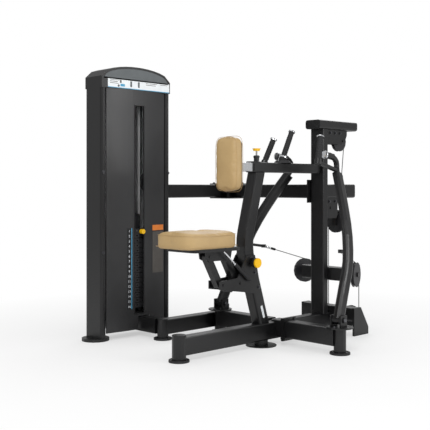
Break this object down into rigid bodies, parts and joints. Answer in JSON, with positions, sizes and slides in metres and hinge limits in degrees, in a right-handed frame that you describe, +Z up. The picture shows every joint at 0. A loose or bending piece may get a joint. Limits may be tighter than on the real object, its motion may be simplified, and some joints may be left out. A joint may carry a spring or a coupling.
{
  "type": "seated row machine",
  "caption": "Seated row strength machine with a weight tower on the user's left, chest pad, padded seat, two pull arms and a cable drive.",
  "frame": {"origin": "centre of the bounding box at floor level", "axes": "+X the way the seated user faces, +Y to the user's left, +Z up"},
  "size_m": [1.5868, 1.4536, 1.673],
  "materials": {
    "frame_paint": "satin black powder coat",
    "shroud_paint": "satin black powder coat on sheet steel",
    "polished_steel": "polished",
    "cast_iron": "rough black coat",
    "rubber": "matte",
    "pulley_plastic": "matte",
    "cable_jacket": "smooth",
    "leather": "fine grain",
    "yellow_plastic": "gloss"
  },
  "bodies": {
    "frame": {"front_rail": "frame_paint", "base_beam_right": "frame_paint", "base_beam_left": "frame_paint", "foot_right": "frame_paint", "foot_left": "frame_paint", "side_rail": "frame_paint", "tower_base": "frame_paint", "crossbeam_side": "frame_paint", "crossbeam_back": "frame_paint", "crossbeam_corner": "frame_paint", "column": "frame_paint", "top_bar": "frame_paint", "upper_bracket": "frame_paint", "mid_bar": "frame_paint", "mid_cross_tube": "frame_paint", "low_cross_tube": "frame_paint", "chest_upright": "frame_paint", "chest_arm": "frame_paint", "seat_bracket": "frame_paint", "tower_post_left": "shroud_paint", "tower_post_right": "shroud_paint", "tower_front_panel": "shroud_paint", "tower_rear_panel": "shroud_paint", "tower_cap": "shroud_paint", "guide_rod_1": "polished_steel", "guide_rod_2": "polished_steel", "gas_spring": "polished_steel", "stack_rest": "cast_iron", "centre_grip": "rubber", "stack_cable": "cable_jacket", "row_cable": "cable_jacket"},
    "arm_right": {"arm_right": "frame_paint", "grip_right": "rubber"},
    "arm_left": {"arm_left": "frame_paint", "grip_left": "rubber"},
    "stack_lift": {"stack_head": "cast_iron", "stack_plate_top": "cast_iron"},
    "selector_pin": {"selector_pin": "yellow_plastic"},
    "float_block": {"float_block": "frame_paint"},
    "chest_slide": {"chest_slide": "polished_steel", "chest_pad": "leather"},
    "chest_pin": {"chest_pin": "yellow_plastic"},
    "seat_link_front": {"seat_link_front": "frame_paint"},
    "seat_link_rear": {"seat_link_rear": "frame_paint"},
    "seat_carrier": {"seat_carrier": "frame_paint", "seat_pad": "leather"},
    "seat_knob": {"seat_knob": "yellow_plastic"},
    "tower_wheel": {"tower_wheel": "pulley_plastic"},
    "lower_wheel": {"lower_wheel": "pulley_plastic"},
    "corner_wheel": {"corner_wheel": "pulley_plastic"},
    "column_wheel": {"column_wheel": "pulley_plastic"},
    "rear_wheel": {"rear_wheel": "pulley_plastic"},
    "front_wheel": {"front_wheel": "pulley_plastic"},
    "guide_wheel": {"guide_wheel": "pulley_plastic"},
    "float_wheel": {"float_wheel": "pulley_plastic"},
    "mid_wheel_right": {"mid_wheel_right": "pulley_plastic"},
    "mid_wheel_left": {"mid_wheel_left": "pulley_plastic"},
    "low_wheel_right": {"low_wheel_right": "pulley_plastic"},
    "low_wheel_left": {"low_wheel_left": "pulley_plastic"}
  },
  "joints": [
    {"name": "arm_right_pull", "type": "hinge", "parent": "frame", "child": "arm_right", "pos_m": [0.05138, -0.64215, 0.19], "axis": [0, -1, 0], "range_deg": [0, 28], "deforming": ["row_cable", "stack_cable"]},
    {"name": "arm_left_pull", "type": "hinge", "parent": "frame", "child": "arm_left", "pos_m": [0.05138, 0.28785, 0.19], "axis": [0, -1, 0], "range_deg": [0, 28]},
    {"name": "stack_lift_slide", "type": "slide", "parent": "frame", "child": "stack_lift", "axis": [0, 0, 1], "range_m": [0, 0.21]},
    {"name": "float_block_slide", "type": "slide", "parent": "frame", "child": "float_block", "axis": [0, 0, -1], "range_m": [0, 0.21]},
    {"name": "tower_wheel_turn", "type": "hinge", "parent": "frame", "child": "tower_wheel", "pos_m": [-0.36362, 0.63485, 1.56], "axis": [0, 1, 0], "range_deg": [0, 301]},
    {"name": "lower_wheel_turn", "type": "hinge", "parent": "frame", "child": "lower_wheel", "pos_m": [-0.26362, 0.63485, 0.963], "axis": [0, -1, 0], "range_deg": [0, 201]},
    {"name": "corner_wheel_turn", "type": "hinge", "parent": "frame", "child": "corner_wheel", "pos_m": [0.42138, 0.58985, 0.903], "axis": [0, 0, -1], "range_deg": [0, 268]},
    {"name": "column_wheel_turn", "type": "hinge", "parent": "frame", "child": "column_wheel", "pos_m": [0.46638, -0.14715, 0.933], "axis": [-1, 0, 0], "range_deg": [0, 400]},
    {"name": "rear_wheel_turn", "type": "hinge", "parent": "frame", "child": "rear_wheel", "pos_m": [0.50338, -0.17715, 1.25], "axis": [0, 1, 0], "range_deg": [0, 325]},
    {"name": "front_wheel_turn", "type": "hinge", "parent": "frame", "child": "front_wheel", "pos_m": [0.66438, -0.17715, 1.227], "axis": [0, 1, 0], "range_deg": [0, 201]},
    {"name": "guide_wheel_turn", "type": "hinge", "parent": "frame", "child": "guide_wheel", "pos_m": [0.67138, -0.17715, 0.984], "axis": [0, 1, 0], "range_deg": [0, 499]},
    {"name": "mid_wheel_right_turn", "type": "hinge", "parent": "frame", "child": "mid_wheel_right", "pos_m": [0.5705, -0.38116, 0.382], "axis": [0.3335, -0.9427, 0], "range_deg": [0, 168]},
    {"name": "mid_wheel_left_turn", "type": "hinge", "parent": "frame", "child": "mid_wheel_left", "pos_m": [0.5705, 0.02686, 0.382], "axis": [-0.3335, -0.9427, 0], "range_deg": [0, 168]},
    {"name": "low_wheel_right_turn", "type": "hinge", "parent": "frame", "child": "low_wheel_right", "pos_m": [0.63838, -0.29715, 0.11], "axis": [-1, 0, 0], "range_deg": [0, 201]},
    {"name": "low_wheel_left_turn", "type": "hinge", "parent": "frame", "child": "low_wheel_left", "pos_m": [0.63838, -0.05715, 0.11], "axis": [1, 0, 0], "range_deg": [0, 201]},
    {"name": "float_wheel_turn", "type": "hinge", "parent": "float_block", "child": "float_wheel", "pos_m": [0.63838, -0.17715, 0.7], "axis": [1, 0, 0], "continuous": true},
    {"name": "selector_pull", "type": "slide", "parent": "stack_lift", "child": "selector_pin", "axis": [0, -1, 0], "range_m": [0, 0.05]},
    {"name": "chest_reach", "type": "slide", "parent": "frame", "child": "chest_slide", "axis": [1, 0, 0], "range_m": [-0.04, 0.1]},
    {"name": "chest_pin_pull", "type": "slide", "parent": "frame", "child": "chest_pin", "axis": [0, 0, 1], "range_m": [0, 0.012], "stiffness_N_per_m": 900, "springref_m": -0.01},
    {"name": "seat_raise", "type": "hinge", "parent": "frame", "child": "seat_link_front", "pos_m": [-0.29862, -0.17715, 0.386], "axis": [0, 1, 0], "range_deg": [-26, 12], "deforming": ["gas_spring"]},
    {"name": "seat_rear_link", "type": "hinge", "parent": "frame", "child": "seat_link_rear", "pos_m": [-0.43362, -0.17715, 0.386], "axis": [0, 1, 0], "range_deg": [-26, 12]},
    {"name": "seat_level", "type": "hinge", "parent": "seat_link_front", "child": "seat_carrier", "pos_m": [-0.38862, -0.17715, 0.546], "axis": [0, 1, 0], "range_deg": [-12, 26]},
    {"name": "seat_knob_pull", "type": "slide", "parent": "frame", "child": "seat_knob", "axis": [0, -1, 0], "range_m": [0, 0.01], "stiffness_N_per_m": 900, "springref_m": -0.01}
  ],
  "couplings": [
    {"joint": "arm_left_pull", "follows": "arm_right_pull", "ratio": 1},
    {"joint": "stack_lift_slide", "follows": "arm_right_pull", "m_per_rad": 0.426},
    {"joint": "float_block_slide", "follows": "arm_right_pull", "m_per_rad": 0.426},
    {"joint": "tower_wheel_turn", "follows": "arm_right_pull", "ratio": 10.65},
    {"joint": "lower_wheel_turn", "follows": "arm_right_pull", "ratio": 7.1},
    {"joint": "corner_wheel_turn", "follows": "arm_right_pull", "ratio": 9.4667},
    {"joint": "column_wheel_turn", "follows": "arm_right_pull", "ratio": 14.2},
    {"joint": "rear_wheel_turn", "follows": "arm_right_pull", "ratio": 11.514},
    {"joint": "front_wheel_turn", "follows": "arm_right_pull", "ratio": 7.1},
    {"joint": "guide_wheel_turn", "follows": "arm_right_pull", "ratio": 17.75},
    {"joint": "mid_wheel_right_turn", "follows": "arm_right_pull", "ratio": 5.9167},
    {"joint": "mid_wheel_left_turn", "follows": "arm_right_pull", "ratio": 5.9167},
    {"joint": "low_wheel_right_turn", "follows": "arm_right_pull", "ratio": 7.1},
    {"joint": "low_wheel_left_turn", "follows": "arm_right_pull", "ratio": 7.1},
    {"joint": "seat_rear_link", "follows": "seat_raise", "ratio": 1},
    {"joint": "seat_level", "follows": "seat_raise", "ratio": -1}
  ]
}
